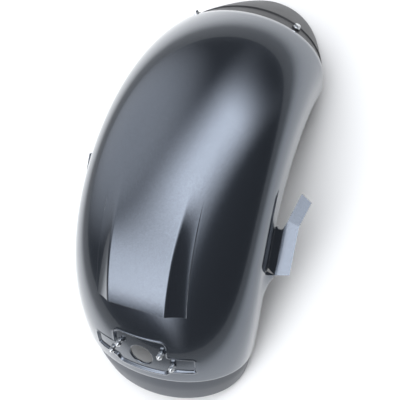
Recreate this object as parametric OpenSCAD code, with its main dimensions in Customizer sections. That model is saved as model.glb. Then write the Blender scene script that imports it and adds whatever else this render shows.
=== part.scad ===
// Motorcycle rear fender: a pressed shell with a raised pad and a lamp recess,
// an inner lip at the tail, a mudguard tongue at the front and two folded side brackets.
//
// The wheel frame has its origin at the wheel centre: +X forward, +Y left, +Z up.
// An angle along the arch is measured from the top of the wheel, and grows towards the tail.
// A depth is measured from the crown line towards the wheel centre.

/* [Shell] */
// Radius of the crown line at the front edge
crown_r = 347; // [320:1:380]
// How much the crown radius shrinks by the tail edge
tail_tuck = 11; // [0:0.5:20]
// Angle of the front edge
front_angle = -24; // [-30:0.5:-20]
// Angle of the tail edge
tail_angle = 79.5; // [78.5:0.5:86]
// Largest half width
half_w_max = 138; // [125:1:155]
// How much narrower each side is at the front edge
front_narrowing = 8; // [0:0.5:20]
// How much narrower each side is at the tail edge
tail_narrowing = 12; // [0:0.5:25]
// Depth of the rounded part of the section
round_depth = 81; // [60:1:84]
// Depth of the lower edge at its deepest
edge_depth = 104; // [98:1:124]
// How much shallower the lower edge is at the front
front_rise = 5.5; // [0:0.5:12]
// How much shallower the lower edge is at the tail
tail_rise = 10.5; // [0:0.5:14]
// Sheet thickness
wall = 2; // [1.5:0.1:3]
// How far the tail edge is rolled inwards
hem_roll = 1.6; // [0:0.1:3]

/* [Raised pad] */
// Angle of the pad's rear end
pad_end = 57.8; // [52:0.2:60]
// Angle where the pad grows out of the crown
pad_start = 27; // [20:0.5:34]
// Height of the flat top above the crown line at the rear end
pad_lift = 4.5; // [2:0.1:8]
// Half width of the flat top at the rear end
pad_top_half = 42; // [34:0.5:48]
// Half width of the flat top where it starts
pad_start_half = 48; // [42:0.5:52]
// Half width at the foot of the flanks
pad_foot_half = 66; // [60:0.5:74]
// Height of the small wall at the foot
pad_step = 1.6; // [0.5:0.1:3]

/* [Lamp recess] */
// Depth of the recess
recess_depth = 2.6; // [1:0.1:4]
// Width of its sloping border
recess_border = 3; // [2:0.1:4]
// Angle of the upper edge of the middle block
block_top = 66; // [65:0.2:67]
// Angle of the lower edge of the middle block
block_bottom = 76.6; // [76:0.2:77.2]
// Half width of the middle block
block_half = 40; // [36:0.5:44]
// Angle of the upper edge of the wings
wing_top = 70.6; // [70:0.2:71.2]
// Angle of the lower edge of the wings
wing_bottom = 75.2; // [74.2:0.2:75.6]
// Half width over the wings
wing_half = 76; // [66:0.5:84]
// Angle of the wiring hole's centre
hole_angle = 72; // [71.6:0.1:72.4]
// Radius of the wiring hole
hole_r = 17; // [10:0.5:20]
// Depth of the hole's turned-in rim below the recess floor
rim_depth = 4.5; // [3.5:0.1:6]

/* [Lamp studs] */
// Thread diameter of a stud
stud_d = 5; // [4:0.5:6]
// Length of a stud above its seat
stud_length = 10; // [9:0.5:14]
// Angle of the upper pair
upper_stud_angle = 69.6; // [69.2:0.1:69.9]
// Distance of the upper pair from the centre line
upper_stud_y = 31.5; // [29:0.5:33]
// Angle of the lower pair
lower_stud_angle = 73.3; // [73:0.1:73.7]
// Distance of the lower pair from the centre line
lower_stud_y = 46; // [44:0.5:60]
// Direction that all four studs point in, as an angle
stud_direction = 78; // [70:0.5:80]
// Diameter of the stud's weld seat
seat_d = 9; // [8:0.5:10]
// Height of the weld seat above the recess floor
seat_h = 0.6; // [0.4:0.1:1]
// Height of the nut's lower face above the seat
stud_nut_height = 3.5; // [2.5:0.5:4]
// Width across the flats of the stud nut
stud_nut_af = 8; // [7.5:0.5:10]
// Height of the stud nut
stud_nut_h = 4; // [3:0.5:5]

/* [Tail lip] */
// How far the lip reaches past the tail edge, as an angle
lip_reach = 9.5; // [6:0.5:12]
// How far it is tucked under the shell, as an angle
lip_tuck = 3; // [2:0.5:5]
// Thickness of the lip
lip_wall = 2.5; // [2:0.1:4]

/* [Front tongue] */
// How far the middle reaches past the front edge, as an angle
tongue_reach = 19; // [14:0.5:21]
// How far the sides reach past the front edge, as an angle
tongue_side_reach = 3.2; // [2.5:0.1:4.5]
// How square its front corners are
tongue_squareness = 4.7; // [3:0.1:6]
// How far it is tucked under the shell, as an angle
tongue_tuck = 4; // [3:0.5:6]
// Thickness of the tongue
tongue_wall = 3; // [2:0.1:4]
// Width of the ledge in front of the shell's edge
ledge_w = 29; // [28:0.5:36]
// Height of the step from the ledge to the front surface
ledge_step = 1.8; // [0.2:0.1:3]
// How much narrower each side is at its front end
tongue_narrowing = 35; // [15:1:45]
// How much its crown rises at its front end
tongue_rise = 4.5; // [0:0.5:10]
// How far its lower edge reaches below the shell's edge
tongue_drop = 6; // [2:0.5:12]

/* [Front bolts] */
// Thread diameter of a bolt
bolt_d = 5; // [4:0.5:6]
// Length of a bolt under its head
bolt_length = 16; // [14:0.5:22]
// Width across the flats of the bolt head
bolt_af = 8; // [7.5:0.5:9]
// Height of the bolt head
bolt_head_h = 3.5; // [2.5:0.5:5]
// Outside diameter of the washer
washer_d = 10.5; // [9.5:0.5:12]
// Thickness of the washer
washer_h = 1; // [0.8:0.1:2]
// Height of the nut
bolt_nut_h = 4; // [3:0.5:5]
// Distance of a bolt ahead of the shell's front edge
bolt_ahead = 19; // [17:0.5:20]
// Distance of a bolt inwards from the widest line
bolt_inwards = 49.5; // [42:0.5:64]
// Diameter of the boss under a bolt
boss_d = 13; // [12.5:0.5:16]

/* [Side brackets] */
// Angle of a bracket's middle
bracket_angle = 40.4; // [36:0.2:43]
// Thickness of the bracket's sheet
bracket_wall = 3; // [2:0.1:4]
// Length of the shelf along the edge
bracket_length = 75; // [64:1:80]
// Height of the flange welded inside the shell
flange_height = 20; // [12:0.5:24]
// How far the flange reaches below the shell's edge
flange_drop = 4; // [2:0.5:8]
// How much shorter the flange is than the shelf at its front end
flange_setback = 6; // [4:0.5:10]
// Radius of the round notch at the flange's front end
notch_r = 3.5; // [2:0.5:4]
// How far the shelf lies below the shell's edge
shelf_drop = 14; // [12:0.5:20]
// Distance of the shelf's fold outside the shell
shelf_out = 7; // [5:0.5:12]
// Width of the shelf
shelf_w = 20; // [19:0.5:26]
// How far the shelf's rear end is cut off square, in degrees
shelf_skew = 14; // [0:1:20]
// Length of the arm
arm_length = 41; // [30:1:60]
// Width of the arm
arm_w = 17; // [12:0.5:18]
// How far the arm bends down from the shelf, in degrees
arm_bend = 20; // [5:1:30]
// How far the arm turns outwards, in degrees
arm_turn = 12; // [0:1:20]
// How far the arm's tip is cut off square, in degrees
arm_skew = 18; // [0:1:30]
// How far the shell's edge flares out to the shelf's rear end
flare_out = 8; // [6:0.5:12]
// How far the flared edge reaches down
flare_drop = 11; // [6:0.5:14]
// Length of the flare's steep front side
flare_ramp = 9; // [7:0.5:12]
// Length of the flare's long rear side
flare_length = 36; // [24:1:44]

/* [Hidden] */

paint_colour = [0.27, 0.29, 0.32];
black_colour = [0.09, 0.09, 0.10];
grey_colour = [0.33, 0.34, 0.36];
zinc_colour = [0.72, 0.74, 0.74];

fit_gap = 0.3;          // clear space between pieces that lie against each other
thread_gap = 0.1;       // clear space round a threaded shank
overlap = 1;            // how far a cutter or a joined solid reaches past a face
round_fn = 48;          // facets shown on round hardware
widest_angle = 42;      // where the shell is widest and deepest

// Shape along the arch
function blend(x) = let (k = min(1, max(0, x))) k * k * (3 - 2 * k);
function mix(a, b, k) = a + (b - a) * k;
function toward_front(phi) = max(0, (widest_angle - phi) / (widest_angle - front_angle));
function toward_tail(phi) = max(0, (phi - widest_angle) / (tail_angle - widest_angle));
function along(phi) = max(0, (phi - front_angle) / (tail_angle - front_angle));
function half_width(phi) =
    half_w_max - front_narrowing * pow(toward_front(phi), 1.5) - tail_narrowing * pow(toward_tail(phi), 2.4);
function crown(phi) = crown_r - tail_tuck * pow(along(phi), 2);
function depth(phi) =
    edge_depth - front_rise * pow(toward_front(phi), 2) - tail_rise * pow(toward_tail(phi), 2);
function degrees_for(length) = length / crown_r * 180 / PI;

// The flare of the lower edge: it comes out steeply behind a bracket and runs back in a long curve
edge_r = crown(bracket_angle) - depth(bracket_angle);
function edge_angle(x) = bracket_angle + atan(x / edge_r);
flare_from = edge_angle(bracket_length / 2 - flare_ramp);
flare_peak = edge_angle(bracket_length / 2);
flare_to = edge_angle(bracket_length / 2 + flare_length);
function flare(phi) = phi < flare_peak
    ? min(1, max(0, (phi - flare_from) / (flare_peak - flare_from)))
    : pow(max(0, (flare_to - phi) / (flare_to - flare_peak)), 2);

// A section point: angle round the rounded part, then how far down the straight flank (0 to 1)
function side_sign(y) = y < 0 ? -1 : 1;
function polar(r, phi, y) = [-r * sin(phi), y, r * cos(phi)];
function section(phi, turn, flank, half, top, deep, inset, lift) =
    polar(top - round_depth + (round_depth - inset) * cos(turn) - flank * (deep - round_depth) + lift,
          phi, (half - inset) * sin(turn));

// Height of the raised pad and of the recess floor over the plain shell
function pad_fade(phi) = phi > pad_end ? 0 : blend((phi - pad_start) / (pad_end - pad_start) * 1.6);
function pad_half(phi) =
    mix(pad_start_half, pad_top_half, min(1, max(0, (phi - pad_start) / (pad_end - pad_start))));
function crown_drop(phi, y) =
    round_depth * (1 - sqrt(max(0, 1 - pow(y / half_width(phi), 2))));
function pad_height(phi, y) =
    let (a = abs(y), half = pad_half(phi), k = (a - half) / (pad_foot_half - half),
         rise = pad_lift * (phi - pad_start) / (pad_end - pad_start))
    a > pad_foot_half ? 0
    : pad_fade(phi) * (k < 0 ? rise + crown_drop(phi, a)
        : (rise + crown_drop(phi, half)) * pow(1 - k, 1.8) + pad_step * pad_fade(phi) * k);
function ramp(x) = min(1, max(0, x));
function inside(x, lower, upper, border) =
    ramp((x - lower) / border) * ramp((upper - x) / border);
function recess(phi, y) =
    let (angle = degrees_for(recess_border))
    recess_depth * max(
        inside(phi, block_top, block_bottom, angle) * ramp((block_half - abs(y)) / recess_border),
        inside(phi, wing_top, wing_bottom, angle) * ramp((wing_half - abs(y)) / recess_border));
function hem(phi) =
    let (k = (phi - tail_angle + degrees_for(hem_length)) / degrees_for(hem_length))
    k < 0 ? 0 : hem_roll * (1 - sqrt(1 - min(1, k * k)));
hem_length = 6;
function relief(phi, y) = pad_height(phi, y) - recess(phi, y) - hem(phi);

// Columns of the shell's grid: near the middle they follow the pad, then the recess
end_draft = 0.15;
foot_draft = 0.5;
function pad_columns(phi) = let (half = pad_half(phi))
    [0, half * 0.34, half * 0.68, half - 1.5, half, mix(half, pad_foot_half, 0.25),
     mix(half, pad_foot_half, 0.55), mix(half, pad_foot_half, 0.8), pad_foot_half, pad_foot_half + foot_draft];
recess_columns = [0, block_half * 0.36, block_half * 0.7, block_half - recess_border, block_half,
                  mix(block_half, wing_half, 0.33), mix(block_half, wing_half, 0.66),
                  wing_half - recess_border, wing_half, wing_half + recess_border];
function inner_columns(phi) =
    let (k = blend((phi - pad_end - 2 * end_draft) / (block_top - pad_end - 1)), a = pad_columns(phi))
    [for (i = [0 : len(a) - 1]) mix(a[i], recess_columns[i], k)];
round_steps = 9;
flank_steps = 3;
function half_columns(phi) =
    let (w = half_width(phi), near = [for (y = inner_columns(phi)) asin(y / w)], last = near[len(near) - 1])
    concat([for (a = near) [a, 0]],
           [for (k = [1 : round_steps]) [mix(last, 90, k / round_steps), 0]],
           [for (k = [1 : flank_steps]) [90, k / flank_steps]]);
function columns(phi) = let (h = half_columns(phi), n = len(h))
    concat([for (i = [n - 1 : -1 : 1]) [-h[i][0], h[i][1]]], h);

// Rows of the shell's grid, from the front edge to the tail edge
function spread(a, b, n) = [for (i = [0 : n - 1]) mix(a, b, i / n)];
shell_rows = let (border = degrees_for(recess_border), rolled = degrees_for(hem_length)) concat(
    spread(front_angle, pad_start, 14),
    spread(pad_start, flare_from, 7),
    spread(flare_from, flare_peak, 2),
    spread(flare_peak, pad_end, 5),
    [pad_end, pad_end + end_draft],
    spread(pad_end + end_draft + 1.4, block_top, 3),
    [block_top, block_top + border],
    spread(block_top + border + 1, wing_top, 3),
    [wing_top, wing_top + border],
    spread(wing_top + border + 1, wing_bottom - border, 3),
    [wing_bottom - border, wing_bottom, block_bottom - border, block_bottom],
    spread(block_bottom + 0.6, tail_angle - rolled, 2),
    [tail_angle - rolled, tail_angle - rolled / 2, tail_angle - rolled / 6, tail_angle]);

function shell_point(phi, column, inset) =
    let (y = half_width(phi) * sin(column[0]), k = flare(phi))
    section(phi, column[0], column[1], half_width(phi), crown(phi), depth(phi) + flare_drop * k,
            inset, relief(phi, y))
    + [0, side_sign(column[0]) * flare_out * k * pow(column[1], 2), 0];
function shell_grid(inset) =
    [for (phi = shell_rows) for (c = columns(phi)) shell_point(phi, c, inset)];
column_count = len(columns(front_angle));

// A sheet between two grids of the same size, closed round its rim
function quad(a, b, c, d) = [[a, b, c], [a, c, d]];
function grid_faces(rows, cols, start, flip) =
    [for (i = [0 : rows - 2]) for (j = [0 : cols - 2])
        let (a = start + i * cols + j, b = a + cols)
        for (t = flip ? quad(a, b, b + 1, a + 1) : quad(a, a + 1, b + 1, b)) t];
function rim_faces(rows, cols, size) = concat(
    [for (j = [0 : cols - 2]) for (t = quad(j, j + 1, size + j + 1, size + j)) t],
    [for (j = [0 : cols - 2]) let (a = (rows - 1) * cols + j)
        for (t = quad(a, size + a, size + a + 1, a + 1)) t],
    [for (i = [0 : rows - 2]) let (a = i * cols)
        for (t = quad(a, size + a, size + a + cols, a + cols)) t],
    [for (i = [0 : rows - 2]) let (a = i * cols + cols - 1)
        for (t = quad(a + cols, size + a + cols, size + a, a)) t]);
module sheet(outer, inner, rows, cols) {
    polyhedron(points = concat(outer, inner),
               faces = concat(grid_faces(rows, cols, 0, true), grid_faces(rows, cols, rows * cols, false),
                              rim_faces(rows, cols, rows * cols)));
}

// The lip under the tail edge
lip_inset = hem_roll + wall + fit_gap;
lip_end = tail_angle + lip_reach;
lip_rows = concat(spread(tail_angle - lip_tuck, tail_angle + 0.4, 3), spread(tail_angle + 0.4, lip_end, 5), [lip_end]);
function plain_half_columns(count) = concat([for (k = [0 : count]) [90 * k / count, 0]],
    [for (k = [1 : flank_steps]) [90, k / flank_steps]]);
function plain_columns(count) = let (h = plain_half_columns(count), n = len(h))
    concat([for (i = [n - 1 : -1 : 1]) [-h[i][0], h[i][1]]], h);
lip_section = plain_columns(12);
function lip_point(phi, column, extra) =
    let (open = blend((phi - tail_angle) / lip_reach * 2))
    section(phi, column[0], column[1], half_width(phi), crown(phi), depth(phi),
            mix(lip_inset, wall, open) + extra, 0);
function lip_grid(extra) = [for (phi = lip_rows) for (c = lip_section) lip_point(phi, c, extra)];

// The tongue in front: a tucked part with a ledge, a small step, and the front surface.
// A row counts from 0 at the tucked end over 1 and 2 at the step to 3 at the front end.
tongue_depth = depth(front_angle) + tongue_drop;
tongue_section = plain_columns(14);
tongue_rows = [3, 2.84, 2.68, 2.52, 2.36, 2.18, 2, 1, 0.7, 0.4, 0];
step_share = 0.2;
function tongue_span(column) =
    tongue_side_reach + (tongue_reach - tongue_side_reach) * (1 - pow(abs(column[0]) / 90, tongue_squareness));
function tongue_ahead(row, column) =
    let (span = tongue_span(column), ledge = min(degrees_for(ledge_w), span * (1 - step_share)),
         step = min(degrees_for(2 * ledge_step), span * step_share / 2))
    row < 1 ? mix(-tongue_tuck, ledge, row)
    : row < 2 ? ledge + step * (row - 1) : mix(ledge + step, span, row - 2);
function tongue_point(row, column, extra) =
    let (ahead = tongue_ahead(row, column), out = max(0, ahead / tongue_reach))
    section(front_angle - ahead, column[0], column[1],
            half_width(front_angle) - tongue_narrowing * out,
            crown(front_angle) + tongue_rise * out * out,
            tongue_depth, wall + fit_gap - ledge_step * ramp(row - 1) + extra, 0);
function tongue_grid(extra) = [for (r = tongue_rows) for (c = tongue_section) tongue_point(r, c, extra)];

// The part stands on the lower corners of the lip and on the front end of the tongue
rear_foot = lip_point(lip_end, [90, 1], 0);
front_feet = [for (c = tongue_section) tongue_point(tongue_rows[0], c, tongue_wall)];
pitch = min([for (p = front_feet) atan((rear_foot[2] - p[2]) / (rear_foot[0] - p[0]))]);
function posed(p) = [p[0] * cos(pitch) + p[2] * sin(pitch), p[1], -p[0] * sin(pitch) + p[2] * cos(pitch)];
outer_rim = [for (p = concat(lip_grid(0), lip_grid(lip_wall), tongue_grid(0), tongue_grid(tongue_wall))) posed(p)];
middle_x = (min([for (p = outer_rim) p[0]]) + max([for (p = outer_rim) p[0]])) / 2;
floor_z = min([for (p = outer_rim) p[2]]);
module in_place() {
    translate([-middle_x, 0, -floor_z]) rotate([0, pitch, 0]) children();
}

// A local frame whose Z axis points away from the wheel centre, square to the skin
function skin_tilt(phi, y, half) =
    atan(round_depth / half * (y / half) / sqrt(1 - pow(y / half, 2)));
module on_skin(at, phi, tilt) {
    translate(at) rotate([0, -phi, 0]) rotate([-tilt, 0, 0]) children();
}

// Lamp studs
function stud_turn(phi, y) = asin(y / half_width(phi));
function stud_seat(phi, y) = shell_point(phi, [stud_turn(phi, y), 0], 0);
module at_stud(phi, y) {
    on_skin(stud_seat(phi, y), stud_direction, 0) children();
}
module at_hole() {
    on_skin(stud_seat(hole_angle, 0), hole_angle, 0) children();
}
module weld_seat() {
    translate([0, 0, -0.75 * wall]) cylinder(d = seat_d, h = 0.75 * wall + seat_h, $fn = round_fn);
}
module stud(phi, y) {
    color(zinc_colour) in_place() at_stud(phi, y)
        translate([0, 0, seat_h]) cylinder(d = stud_d, h = stud_length, $fn = round_fn);
}
module nut(af, height, bore) {
    difference() {
        cylinder(d = af / cos(30), h = height, $fn = 6);
        translate([0, 0, -overlap]) cylinder(d = bore, h = height + 2 * overlap, $fn = round_fn);
    }
}
module stud_nut(phi, y) {
    color(zinc_colour) in_place() at_stud(phi, y)
        translate([0, 0, seat_h + stud_nut_height]) nut(stud_nut_af, stud_nut_h, stud_d + 2 * thread_gap);
}

rim_top = 1.6;           // how far the turned-in rim starts below the recess floor's highest line
module fender_shell() {
    color(paint_colour) in_place() difference() {
        union() {
            sheet(shell_grid(0), shell_grid(wall), len(shell_rows), column_count);
            for (side = [-1, 1]) {
                at_stud(upper_stud_angle, side * upper_stud_y) weld_seat();
                at_stud(lower_stud_angle, side * lower_stud_y) weld_seat();
            }
            at_hole() translate([0, 0, -rim_depth])
                cylinder(r = hole_r + wall, h = rim_depth - rim_top, $fn = round_fn);
        }
        at_hole() translate([0, 0, -rim_depth - overlap])
            cylinder(r = hole_r, h = rim_depth + 4 * overlap, $fn = round_fn);
    }
}

module tail_lip() {
    color(grey_colour) in_place() sheet(lip_grid(0), lip_grid(lip_wall), len(lip_rows), len(lip_section));
}

// Front bolts
boss_up = 0.8;
boss_down = 6;
bolt_angle = front_angle - degrees_for(bolt_ahead);
bolt_y = half_width(front_angle) - bolt_inwards;
bolt_turn = asin(bolt_y / half_width(front_angle));
function bolt_seat(side) = let (p = section(bolt_angle, bolt_turn, 0,
    half_width(front_angle), crown(front_angle), tongue_depth, wall + fit_gap, 0)) [p[0], side * p[1], p[2]];
module at_bolt(side) {
    on_skin(bolt_seat(side), bolt_angle, side * skin_tilt(bolt_angle, bolt_y, half_width(front_angle)))
        translate([0, 0, boss_up]) children();
}
module front_tongue() {
    color(black_colour) in_place() difference() {
        union() {
            sheet(tongue_grid(0), tongue_grid(tongue_wall), len(tongue_rows), len(tongue_section));
            for (side = [-1, 1]) at_bolt(side)
                translate([0, 0, -boss_up - boss_down]) cylinder(d = boss_d, h = boss_up + boss_down, $fn = round_fn);
        }
        for (side = [-1, 1]) at_bolt(side) translate([0, 0, -boss_up - boss_down - overlap])
            cylinder(d = bolt_d + 2 * fit_gap, h = boss_up + boss_down + 2 * overlap, $fn = round_fn);
    }
}
module bolt(side) {
    color(zinc_colour) in_place() at_bolt(side) translate([0, 0, washer_h]) {
        cylinder(d = bolt_af / cos(30), h = bolt_head_h, $fn = 6);
        translate([0, 0, -bolt_length]) cylinder(d = bolt_d, h = bolt_length + overlap, $fn = round_fn);
    }
}
module washer(side) {
    color(zinc_colour) in_place() at_bolt(side) difference() {
        cylinder(d = washer_d, h = washer_h, $fn = round_fn);
        translate([0, 0, -overlap])
            cylinder(d = bolt_d + 2 * fit_gap, h = washer_h + 2 * overlap, $fn = round_fn);
    }
}
module bolt_nut(side) {
    color(zinc_colour) in_place() at_bolt(side) translate([0, 0, -boss_up - boss_down - bolt_nut_h])
        nut(bolt_af, bolt_nut_h, bolt_d + 2 * thread_gap);
}

// Side brackets. In the bracket's frame X runs along the edge to the tail, Y outwards, Z away from the wheel.
// Each sheet is a line of points given a thickness, with mitred corners.
function unit(v) = v / norm(v);
function left_of(v) = [-v[1], v[0]];
function mitre(points, i, t) =
    let (n = len(points),
         a = i == 0 ? unit(points[1] - points[0]) : unit(points[i] - points[i - 1]),
         b = i == n - 1 ? a : unit(points[i + 1] - points[i]),
         m = unit(left_of(a) + left_of(b)))
    points[i] + m * t / (m * left_of(a));
module folded(points, thickness) {
    polygon(concat(points, [for (i = [len(points) - 1 : -1 : 0]) mitre(points, i, thickness)]));
}
half_span = atan(bracket_length / 2 / edge_r);
narrowest = min(half_width(bracket_angle - half_span), half_width(bracket_angle + half_span));
bracket_face = narrowest - half_width(bracket_angle) - wall - fit_gap;
flange_profile = [[bracket_face, flange_height], [bracket_face, -flange_drop],
                  [shelf_out, -shelf_drop], [shelf_out + shelf_w, -shelf_drop]];
shelf_front = -bracket_length / 2;
shelf_outer = shelf_out + shelf_w;
flange_front = shelf_front + flange_setback;
module bracket_frame() {
    translate(polar(edge_r, bracket_angle, half_width(bracket_angle)))
        rotate([0, -bracket_angle, 0]) mirror([1, 0, 0]) children();
}
// Seen from above: the rear end follows the flared edge, and the front end turns with the arm
rear_clearance = 1.8;
function flare_line(y) = bracket_length / 2 + flare_ramp * (y / flare_out - 1) - rear_clearance;
module bracket_outline() {
    inmost = bracket_face - 2 * bracket_wall;
    polygon([[flange_front, inmost], [flare_line(inmost), inmost], [flare_line(shelf_out), shelf_out],
             [flare_line(shelf_out) - shelf_w * tan(shelf_skew), shelf_outer], [shelf_front, shelf_outer],
             [shelf_front - arm_w * sin(arm_turn), shelf_outer - arm_w * cos(arm_turn)],
             [flange_front, shelf_out]]);
}
module bracket_flange() {
    difference() {
        intersection() {
            rotate([90, 0, 90]) linear_extrude(2 * bracket_length, center = true)
                folded(flange_profile, -bracket_wall);
            linear_extrude(4 * flange_height, center = true) bracket_outline();
        }
        translate([flange_front, shelf_out / 2, -shelf_drop])
            cylinder(r = notch_r, h = 2 * shelf_drop, center = true, $fn = round_fn);
    }
}
arm_root = 6;
arm_run = arm_length * cos(arm_bend);
arm_profile = [[arm_root, -shelf_drop], [0, -shelf_drop], [-arm_run, -shelf_drop - arm_length * sin(arm_bend)]];
module arm_outline() {
    polygon([[arm_root, -arm_w], [-arm_run, -arm_w], [arm_w * tan(arm_skew) - arm_run, 0], [arm_root, 0]]);
}
module bracket_arm() {
    translate([shelf_front, shelf_outer, 0]) rotate([0, 0, -arm_turn]) intersection() {
        rotate([90, 0, 0]) linear_extrude(4 * arm_w, center = true) folded(arm_profile, bracket_wall);
        linear_extrude(4 * arm_length, center = true) arm_outline();
    }
}
module bracket() {
    bracket_frame() {
        bracket_flange();
        bracket_arm();
    }
}
module bracket_left() {
    color(paint_colour) in_place() bracket();
}
module bracket_right() {
    color(paint_colour) in_place() mirror([0, 1, 0]) bracket();
}

fender_shell();
tail_lip();
front_tongue();
bracket_left();
bracket_right();
bolt(1);  // bolt_left
bolt(-1);  // bolt_right
washer(1);  // washer_left
washer(-1);  // washer_right
bolt_nut(1);  // bolt_nut_left
bolt_nut(-1);  // bolt_nut_right
stud(upper_stud_angle, upper_stud_y);  // stud_upper_left
stud(upper_stud_angle, -upper_stud_y);  // stud_upper_right
stud(lower_stud_angle, lower_stud_y);  // stud_lower_left
stud(lower_stud_angle, -lower_stud_y);  // stud_lower_right
stud_nut(upper_stud_angle, upper_stud_y);  // stud_nut_upper_left
stud_nut(upper_stud_angle, -upper_stud_y);  // stud_nut_upper_right
stud_nut(lower_stud_angle, lower_stud_y);  // stud_nut_lower_left
stud_nut(lower_stud_angle, -lower_stud_y);  // stud_nut_lower_right
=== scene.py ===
import bpy
import bmesh
import numpy as np
from mathutils import Matrix


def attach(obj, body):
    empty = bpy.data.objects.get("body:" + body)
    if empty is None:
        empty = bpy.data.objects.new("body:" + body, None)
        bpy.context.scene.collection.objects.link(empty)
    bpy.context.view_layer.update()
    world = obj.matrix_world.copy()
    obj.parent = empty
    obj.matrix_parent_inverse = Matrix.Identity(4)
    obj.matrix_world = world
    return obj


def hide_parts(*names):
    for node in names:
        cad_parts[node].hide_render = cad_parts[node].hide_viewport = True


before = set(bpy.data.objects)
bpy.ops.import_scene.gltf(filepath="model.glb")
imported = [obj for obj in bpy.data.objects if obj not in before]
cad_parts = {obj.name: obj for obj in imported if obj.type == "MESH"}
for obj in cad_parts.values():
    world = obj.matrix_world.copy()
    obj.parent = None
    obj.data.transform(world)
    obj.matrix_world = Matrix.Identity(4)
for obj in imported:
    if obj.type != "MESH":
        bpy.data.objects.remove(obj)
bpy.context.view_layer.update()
print("frame loaded:", len(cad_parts), "nodes")


# Shapes are worked out in the wheel's frame, in millimetres and degrees: the origin is the wheel's
# centre, an angle is measured from the top of the wheel and grows towards the tail.
shell = dict(
    crownR=347, tailTuck=11, frontAngle=-24, tailAngle=79.5, widestAngle=42,
    halfWidth=138, frontNarrowing=8, frontPower=1.5, tailNarrowing=12, tailPower=2.4,
    roundDepth=81, edgeDepth=104, frontRise=5.5, tailRise=10.5, wall=2, hemRoll=1.6, hemLength=6)
# An ease gives how far before an edge the surface starts to fall and over how long it falls
pad = dict(start=27, end=57.8, lift=4.5, topHalf=42, startHalf=48, footHalf=66, step=1.6, shoulder=1.8,
           fadeRate=1.6, flankPower=1.8, footEase=(0.1, 0.6), endEase=(0.07, 0.2))
recess = dict(depth=2.6, border=3, blockTop=66, blockBottom=76.6, blockHalf=40,
              wingTop=70.6, wingBottom=75.2, wingHalf=76, blockCorner=9, wingCorner=4, inner=2.5,
              beadHeight=0.5, beadAway=0.9, beadWidth=1.2)
flare = dict(angle=40.4, length=75, out=8, drop=11, ramp=9, run=36, soften=0.15)
hole = dict(angle=72, radius=17, rim=4.5, fillet=1.4, patch=21.5, insideGap=0.8)
stud = dict(diameter=5, length=10, seatD=9, seatH=0.6, nutUp=3.5, nutAf=8, nutH=4, pitch=0.8, threadFrom=1.2,
            threadEnd=0.5, direction=78, places=dict(upper=(69.6, 31.5), lower=(73.3, 46)))
lip = dict(reach=9.5, tuck=3, wall=2.5, gap=0.3)
tongue = dict(reach=19, sideReach=3.2, squareness=4.7, tuck=4, wall=3, ledge=29, step=1.8, stepShare=0.2,
              narrowing=35, rise=4.5, drop=6, gap=0.3)
bolt = dict(diameter=5, length=16, af=8, headH=3.5, washerD=10.5, washerH=1, nutH=4, pitch=0.8,
            threadFrom=8, threadEnd=0.6, holeGap=0.3, ahead=19, inwards=49.5, bossD=13, bossUp=0.8,
            bossDown=6)


# A smooth step from 0 to 1
def blend(x):
    k = np.clip(x, 0, 1)
    return k * k * (3 - 2 * k)


def mix(a, b, k):
    return a + (b - a) * k


# The angle that a length takes up along the crown
def degreesFor(length):
    return np.degrees(length / shell["crownR"])


# Both grow from 0 at the widest line to 1 at the front edge or the tail
def towardFront(phi):
    return np.maximum(0, (shell["widestAngle"] - phi) / (shell["widestAngle"] - shell["frontAngle"]))


def towardTail(phi):
    return np.maximum(0, (phi - shell["widestAngle"]) / (shell["tailAngle"] - shell["widestAngle"]))


def halfWidth(phi):
    return (shell["halfWidth"] - shell["frontNarrowing"] * towardFront(phi) ** shell["frontPower"]
            - shell["tailNarrowing"] * towardTail(phi) ** shell["tailPower"])


def crown(phi):
    along = np.maximum(0, (phi - shell["frontAngle"]) / (shell["tailAngle"] - shell["frontAngle"]))
    return shell["crownR"] - shell["tailTuck"] * along ** 2


def depth(phi):
    return (shell["edgeDepth"] - shell["frontRise"] * towardFront(phi) ** 2
            - shell["tailRise"] * towardTail(phi) ** 2)


# A point of the arch: a quarter ellipse from the crown down to the widest line, then a straight flank
def section(phi, turn, flank, half, top, deep, inset, lift=0.0):
    a, t = np.radians(phi), np.radians(turn)
    r = (top - shell["roundDepth"] + (shell["roundDepth"] - inset) * np.cos(t)
         - flank * (deep - shell["roundDepth"]) + lift)
    return np.stack(np.broadcast_arrays(-r * np.sin(a), (half - inset) * np.sin(t), r * np.cos(a)), -1)


# The two end pieces, from which the pose is found
def lipPoint(phi, turn, flank, extra):
    opened = blend((phi - shell["tailAngle"]) / lip["reach"] * 2)
    inset = mix(shell["hemRoll"] + shell["wall"] + lip["gap"], shell["wall"], opened)
    return section(phi, turn, flank, halfWidth(phi), crown(phi), depth(phi), inset + extra)


# A row of the tongue counts from 0 at the tucked end over 1 and 2 at the small step to 3 at the front end
def tongueAhead(row, turn):
    span = tongue["sideReach"] + (tongue["reach"] - tongue["sideReach"]) * (
        1 - (np.abs(turn) / 90) ** tongue["squareness"])
    ledge = np.minimum(degreesFor(tongue["ledge"]), span * (1 - tongue["stepShare"]))
    step = np.minimum(degreesFor(2 * tongue["step"]), span * tongue["stepShare"] / 2)
    return span, np.where(row < 1, mix(-tongue["tuck"], ledge, row), np.where(
        row < 2, ledge + step * (row - 1), mix(ledge + step, span, row - 2)))


def tonguePoint(row, turn, flank, extra, pull=0.0):
    front, tuck = shell["frontAngle"], tongue["tuck"]
    span, ahead = tongueAhead(row, turn)
    ahead = pull - tuck + (ahead + tuck) * (span + tuck - 2 * pull) / (span + tuck)
    out = np.maximum(0, ahead / tongue["reach"])
    inset = shell["wall"] + tongue["gap"] - tongue["step"] * blend(row - 1)
    return section(front - ahead, turn, flank, halfWidth(front) - tongue["narrowing"] * out,
                   crown(front) + tongue["rise"] * out ** 2, depth(front) + tongue["drop"], inset + extra)


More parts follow.
